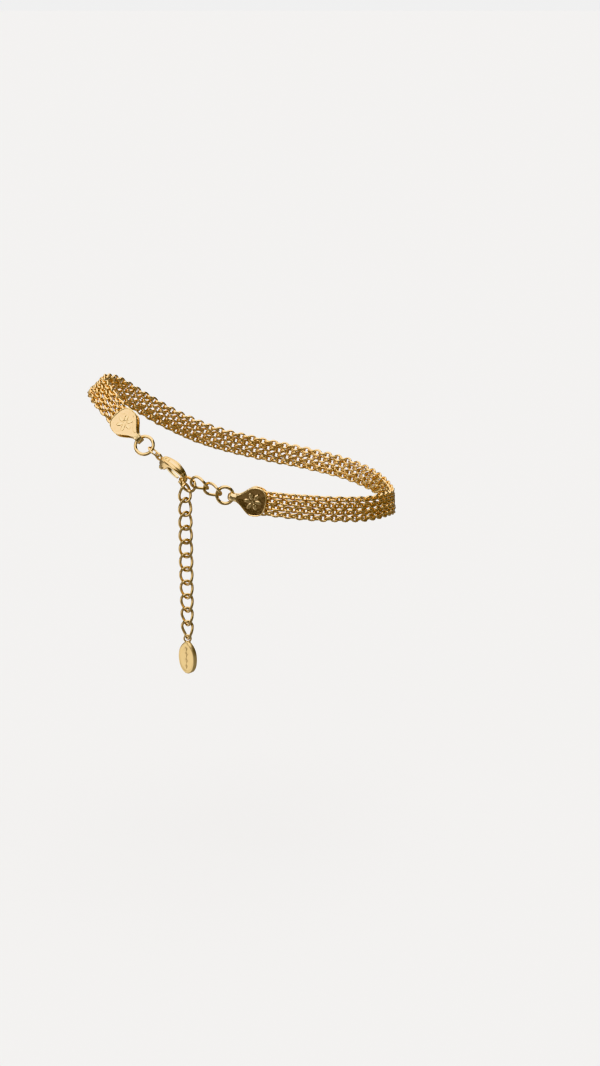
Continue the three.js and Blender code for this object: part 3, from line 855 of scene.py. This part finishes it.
def back_groove(side):
    """Round bar that follows the claw's back near one edge, to cut a groove: it runs just outside
    the back's curve, at a steady share of the claw's half width."""
    path = spline(CLAW_ROWS[GROOVED_ROWS], 10)
    back, half = path[:, 0:2], path[:, 4]
    along = unit(np.gradient(back, axis=0))
    out_of_back = np.column_stack([-along[:, 1], along[:, 0], 0 * half])
    centres = np.column_stack([back, side * GROOVE_AT * half]) + GROOVE_LIFT * out_of_back
    t = even_turns(10)[None, :, None]
    circle = np.cos(t) * out_of_back[:, None] + np.sin(t) * np.array([0.0, 0.0, 1.0])
    ends = np.concatenate([[0.0], np.ones(len(path) - 2), [0.0]])[:, None, None]
    return shell(centres[:, None] + GROOVE_RADIUS * ends * circle)


def add_fusing(thing, name):
    """Adds a modifier that lays one new skin over everything, on a grid of small cubes."""
    fuse = thing.modifiers.new(name, "REMESH")
    fuse.mode = "VOXEL"
    fuse.voxel_size = CAST_VOXEL * MM


def cast_mesh(name, skins, cutters):
    """Cast metal: skins that run into each other are fused to one, cut by the cutters, fused again
    for softly rounded edges, and smoothed."""
    work = scene_object(name + "_raw", skin_mesh(name + "_raw", join(skins)))
    helpers = [scene_object(name + "_cutter", skin_mesh(name + "_cutter", cutter)) for cutter in cutters]
    add_fusing(work, "fuse")
    for helper in helpers:
        cut = work.modifiers.new("cut", "BOOLEAN")
        cut.operation = "DIFFERENCE"
        cut.object = helper
        cut.solver = "EXACT"
    add_fusing(work, "soften")
    polish = work.modifiers.new("polish", "SMOOTH")
    polish.factor = 0.5
    polish.iterations = POLISH_STEPS
    bpy.context.view_layer.update()
    graph = bpy.context.evaluated_depsgraph_get()
    mesh = bpy.data.meshes.new_from_object(work.evaluated_get(graph))
    for thing in [work, *helpers]:
        bpy.data.meshes.remove(thing.data)
    mesh.name = name
    return mesh


def in_place(mesh):
    """Moves a mesh from the clasp's own frame to its place."""
    coords = np.empty(len(mesh.vertices) * 3)
    mesh.vertices.foreach_get("co", coords)
    points, _ = placed((coords.reshape(-1, 3) / MM, None), clasp_origin, clasp_axes)
    mesh.vertices.foreach_set("co", (points * MM).ravel())
    mesh.update()
    return mesh


ring_radius = (LEFT_RING["outer"] - RING_WIRE) / 2
clasp_origin = (np.array(LEFT_RING["centre"]) - LEFT["to_mouth"] * math.cos(CLASP_TURN) * ring_radius
                + LEFT["across"] * math.sin(CLASP_TURN) * ring_radius)
clasp_axes = axes_from(CLASP_ALONG, CLASP_BACK)

eye_points, eye_faces = ring_skin(EYE_RADIUS, EYE_WIRE, 48, 16)
eye_points = eye_points * (1, 1, EYE_HALF_DEPTH / (EYE_WIRE / 2)) + (EYE_AT, 0, 0)
claw_skins = [swept_bar(CLAW_ROWS, per_span=10, sharpness=5), (eye_points, eye_faces)]
claw_cutters = [
    box_skin(*LEVER_SLOT),
    rounded_disc(*PIVOT, CLAW_PIN_HOLE, CLAW_PIN_HOLE_HALF, HOLE_EDGE),
    *(back_groove(side) for side in (-1, 1)),
    *(ball(*pit, PIT_RADIUS) for pit in BACK_PITS),
]
claw = in_place(cast_mesh("lobster_claw", claw_skins, claw_cutters))
add_piece("lobster_claw", claw, POLISHED, "clasp_body")

lever_skins = [
    swept_bar(LEVER_ROWS, per_span=10, sharpness=5),
    rounded_disc(*PIVOT, LEVER_HUB_RADIUS, LEVER_HUB_HALF, LEVER_HUB_EDGE),
    swept_bar(STEM_ROWS, per_span=8, sharpness=4),
    ball(*KNOB, KNOB_RADIUS),
]
lever_hole = rounded_disc(*PIVOT, LEVER_PIN_HOLE, LEVER_PIN_HOLE_HALF, HOLE_EDGE)
lever = in_place(cast_mesh("spring_lever", lever_skins, [lever_hole]))
add_piece("spring_lever", lever, LEVER_GOLD, "clasp_lever", body="clasp_lever")

rivet = placed(rounded_disc(*PIVOT, RIVET_RADIUS, RIVET_HALF, RIVET_EDGE, 28), clasp_origin, clasp_axes)
add_piece("lever_rivet", skin_mesh("lever_rivet", rivet), POLISHED, "clasp_rivet")

link_loop = oval(OVAL_LINK_HALF_LENGTH, OVAL_LINK_HALF_WIDTH, 56) + (OVAL_LINK_AT, 0, 0)
link_across = -(clasp_axes[:, 1] * math.sin(OVAL_LINK_ROLL) + clasp_axes[:, 2] * math.cos(OVAL_LINK_ROLL))
oval_link = placed(shell(wire_loop(link_loop, OVAL_LINK_WIRE / 2, 12), close_rows=True),
                   clasp_origin, axes_from(CLASP_ALONG, link_across))
add_piece("clasp_oval_link", skin_mesh("clasp_oval_link", oval_link), POLISHED,
          "clasp_link")

# Tag

TAG_CENTRE = (-16.53, -28.31, -59.78)
TAG_TURN = math.radians(40)
TAG_HALF_WIDTH = 3.3
TAG_HALF_HEIGHT = 5.25
TAG_WIDEST_AT = -0.3
TAG_THICKNESS = 1.5
TAG_EDGE = 0.22
# Of the outline's size, how much the flat faces take up, and where the border starts and ends
TAG_FACE_SHARE = 0.9
TAG_BORDER_INSIDE = (0.80, 0.84)
TAG_BORDER_OUTSIDE = (0.90, 0.97)
TAG_BORDER_SHARE = 0.35
TAG_RELIEF = 0.16
# Strength of the painted shade on the lozenges' slopes
TAG_PAINTED_SHADE = 0.3
TAG_LOZENGES = [
    {"height": 2.7, "half_width": 0.5},
    {"height": 0.9, "half_width": 0.6},
    {"height": -1.0, "half_width": 0.6},
    {"height": -2.9, "half_width": 0.5},
]
LOZENGE_SLENDERNESS = 1.5
LOZENGE_SLOPE = (-0.08, 0.35)
# Shares of a lozenge's height between which the painted shade on its slopes starts and ends
PAINTED_SHADE_STARTS = (0.02, 0.3)
PAINTED_SHADE_ENDS = (0.5, 0.9)
TAG_EYE_HEIGHT = 5.95
TAG_EYE_TURN = math.radians(40)
TAG_EYE_RADIUS = 1.05
TAG_EYE_WIRE = 0.6


def tag_outline(count):
    """Half an almond from the pointed top down one side to the round bottom, in two drawn curves of
    count points, then the same way back up on the other side"""
    w, h = TAG_HALF_WIDTH, TAG_HALF_HEIGHT
    upper = [(0, h), (w * 0.75, h * 0.74), (w, h * 0.38), (w, TAG_WIDEST_AT)]
    lower = [(w, TAG_WIDEST_AT), (w, -h * 0.64), (w * 0.55, -h), (0, -h)]
    t = np.linspace(0, 1, count, endpoint=False)
    side = np.vstack([drawn_curve(upper, t), drawn_curve(lower, t)])
    return np.vstack([side, [(0, -h)], side[1:][::-1] * (-1, 1)])


def tag_plate():
    """Plate as outlines that shrink towards its middle: the front face with a low border and
    lozenges, an edge rounded by a quarter of an oval on each side, and a plain back. A lozenge is
    a smooth step of 1 - |x| / half width - |y - height| / half height. Also gives how much painted
    shade darkens each point: 1 on the lozenges' slopes."""
    corner = np.linspace(0, np.pi / 2, 6)[1:]
    face = np.linspace(0, TAG_FACE_SHARE, 34)
    share = np.concatenate([face, TAG_FACE_SHARE + (1 - TAG_FACE_SHARE) * np.sin(corner)])[:, None]
    drop = np.concatenate([0 * face, TAG_EDGE * (1 - np.cos(corner))])[:, None]
    outline = tag_outline(40)
    x, y = share * outline[:, 0], share * outline[:, 1]
    raised = np.zeros_like(x)
    for lozenge in TAG_LOZENGES:
        half_width = lozenge["half_width"]
        beyond = np.abs(y - lozenge["height"]) / (LOZENGE_SLENDERNESS * half_width)
        inside = 1 - np.abs(x) / half_width - beyond
        raised = np.maximum(raised, smooth_step(inside, *LOZENGE_SLOPE))
    border = smooth_step(share, *TAG_BORDER_INSIDE) * (1 - smooth_step(share, *TAG_BORDER_OUTSIDE))
    level = TAG_THICKNESS / 2 - drop + 0 * x
    front = level + TAG_RELIEF * np.maximum(raised, TAG_BORDER_SHARE * border)
    both = [np.concatenate([top, bottom[::-1]]) for top, bottom in ((x, x), (y, y), (front, -level))]
    slopes = smooth_step(raised, *PAINTED_SHADE_STARTS) * (1 - smooth_step(raised, *PAINTED_SHADE_ENDS))
    return shell(np.stack(both, axis=2)), np.concatenate([slopes, 0 * x]).ravel()


plate, plate_painted_shade = tag_plate()
tag_eye = placed(ring_skin(TAG_EYE_RADIUS, TAG_EYE_WIRE, 48, 12), (0, TAG_EYE_HEIGHT, 0),
                 axes_from((math.cos(TAG_EYE_TURN), 0, -math.sin(TAG_EYE_TURN)), (0, 1, 0)))
# Painted shade on the plate's lozenge slopes, none on the eye
tag_painted_shade = np.concatenate([plate_painted_shade * TAG_PAINTED_SHADE, np.zeros(len(tag_eye[0]))])
tag_skin = placed(join([plate, tag_eye]), TAG_CENTRE,
                  axes_from((math.cos(TAG_TURN), -math.sin(TAG_TURN), 0), (0, 0, 1)))
add_piece("almond_tag", skin_mesh("almond_tag", tag_skin, tag_painted_shade), TAG_GOLD, "tag")

# Studio, in metres

FLOOR_HEIGHT = -0.1245
FLOOR_REACH = 60.0

# Soft lights all around, as directions: where each stands, its brightness, and how many degrees
# from its middle its glow is full and gone
SOFT_LIGHTS = [
    {"name": "front_left", "towards": (-0.40, -0.66, 0.66), "glow": 2.5, "full": 2, "gone": 26},
    {"name": "overhead", "towards": (0.05, 0.15, 1.0), "glow": 3.7, "full": 4, "gone": 43},
    {"name": "left_strip", "towards": (-0.95, -0.05, 0.20), "glow": 1.4, "full": 2, "gone": 24},
    {"name": "right_strip", "towards": (0.80, -0.55, 0.42), "glow": 1.5, "full": 4, "gone": 15},
    {"name": "behind", "towards": (-0.10, 0.90, 0.42), "glow": 1.6, "full": 8, "gone": 22},
]
ROOM_GLOW = 0.05
ROOM_COLOUR = (1.0, 0.985, 0.96, 1)
BACKDROP_GLOW = 1.04
BACKDROP_COLOUR = (1.0, 1.0, 1.0, 1)
FLOOR_COLOUR = (0.93, 0.93, 0.94, 1)
FLOOR_SHARE_IN_METAL = 0.25
PALE_PATCH = (-0.20, -0.05, FLOOR_HEIGHT)
PATCH_FULL = 0.09
PATCH_GONE = 0.15

# Camera: its focal length as a share of the picture's height, both in pixels, and how far it looks
# down from level, in degrees
FOCAL_PIXELS = 1825.33
PICTURE_HEIGHT_PIXELS = 1066
SENSOR_HEIGHT = 36
CAMERA_PLACE = (0.01777, -0.554, 0.1325)
CAMERA_DOWN = 16.21


def studio_world():
    """Soft lights in a dim room, each a round glow about its direction: a smooth step of the cosine
    of the angle from it. The camera itself sees only a pale backdrop."""
    world = Finish("studio", "worlds")
    towards = world.node("TexCoord").out("Generated")
    glow = ROOM_GLOW
    for lamp in SOFT_LIGHTS:
        middle = tuple(unit(np.array(lamp["towards"])))
        facing = world.node("VectorMath", {"operation": "DOT_PRODUCT"}, {0: towards, 1: middle})
        gone, full = (math.cos(math.radians(lamp[part])) for part in ("gone", "full"))
        glow = glow + world.ramp(facing.value("Value"), gone, full) * lamp["glow"]
    room = world.node("Background", {}, {"Color": ROOM_COLOUR, "Strength": glow})
    seen = world.node("Background", {}, {"Color": BACKDROP_COLOUR, "Strength": BACKDROP_GLOW})
    by_camera = world.node("LightPath").value("Is Camera Ray")
    mix = world.node("MixShader", {}, {0: by_camera, 1: room.out(), 2: seen.out()})
    world.node("OutputWorld", {}, {"Surface": mix.out()})
    bpy.context.scene.world = world.block


def floor_finish():
    """Pale and matt. In the metal it is mirrored dimmer, but for a round pale patch at the left."""
    finish = Finish("pale_floor")
    dimmed = tuple(FLOOR_SHARE_IN_METAL * part for part in FLOOR_COLOUR[:3]) + (1,)
    matt = finish.node("BsdfDiffuse", {}, {"Color": FLOOR_COLOUR})
    dim = finish.node("BsdfDiffuse", {}, {"Color": dimmed})
    place = finish.node("TexCoord").out("Object")
    apart = finish.node("VectorMath", {"operation": "DISTANCE"}, {0: place, 1: PALE_PATCH})
    patch = finish.ramp(PATCH_GONE - apart.value("Value"), 0, PATCH_GONE - PATCH_FULL)
    in_metal = finish.node("LightPath").value("Is Glossy Ray") * (1 - patch)
    mix = finish.node("MixShader", {}, {0: in_metal, 1: matt.out(), 2: dim.out()})
    finish.node("OutputMaterial", {}, {"Surface": mix.out()})
    return finish.block


def studio_floor():
    """Level square, far wider than the picture"""
    mesh = bpy.data.meshes.new("studio_floor")
    corners = [(-1, -1), (1, -1), (1, 1), (-1, 1)]
    points = [(x * FLOOR_REACH, y * FLOOR_REACH, FLOOR_HEIGHT) for x, y in corners]
    mesh.from_pydata(points, [], [(0, 1, 2, 3)])
    mesh.materials.append(floor_finish())
    scene_object("studio_floor", mesh)


def studio_camera():
    """Camera at the photograph's angle, level from side to side"""
    lens = bpy.data.cameras.new("camera")
    lens.sensor_fit = "VERTICAL"
    lens.sensor_height = SENSOR_HEIGHT
    lens.lens = FOCAL_PIXELS / PICTURE_HEIGHT_PIXELS * SENSOR_HEIGHT
    camera = scene_object("camera", lens)
    camera.location = CAMERA_PLACE
    camera.rotation_euler = (math.radians(90 - CAMERA_DOWN), 0, 0)
    bpy.context.scene.camera = camera


studio_world()
studio_floor()
studio_camera()
bpy.context.scene.view_settings.view_transform = "Khronos PBR Neutral"
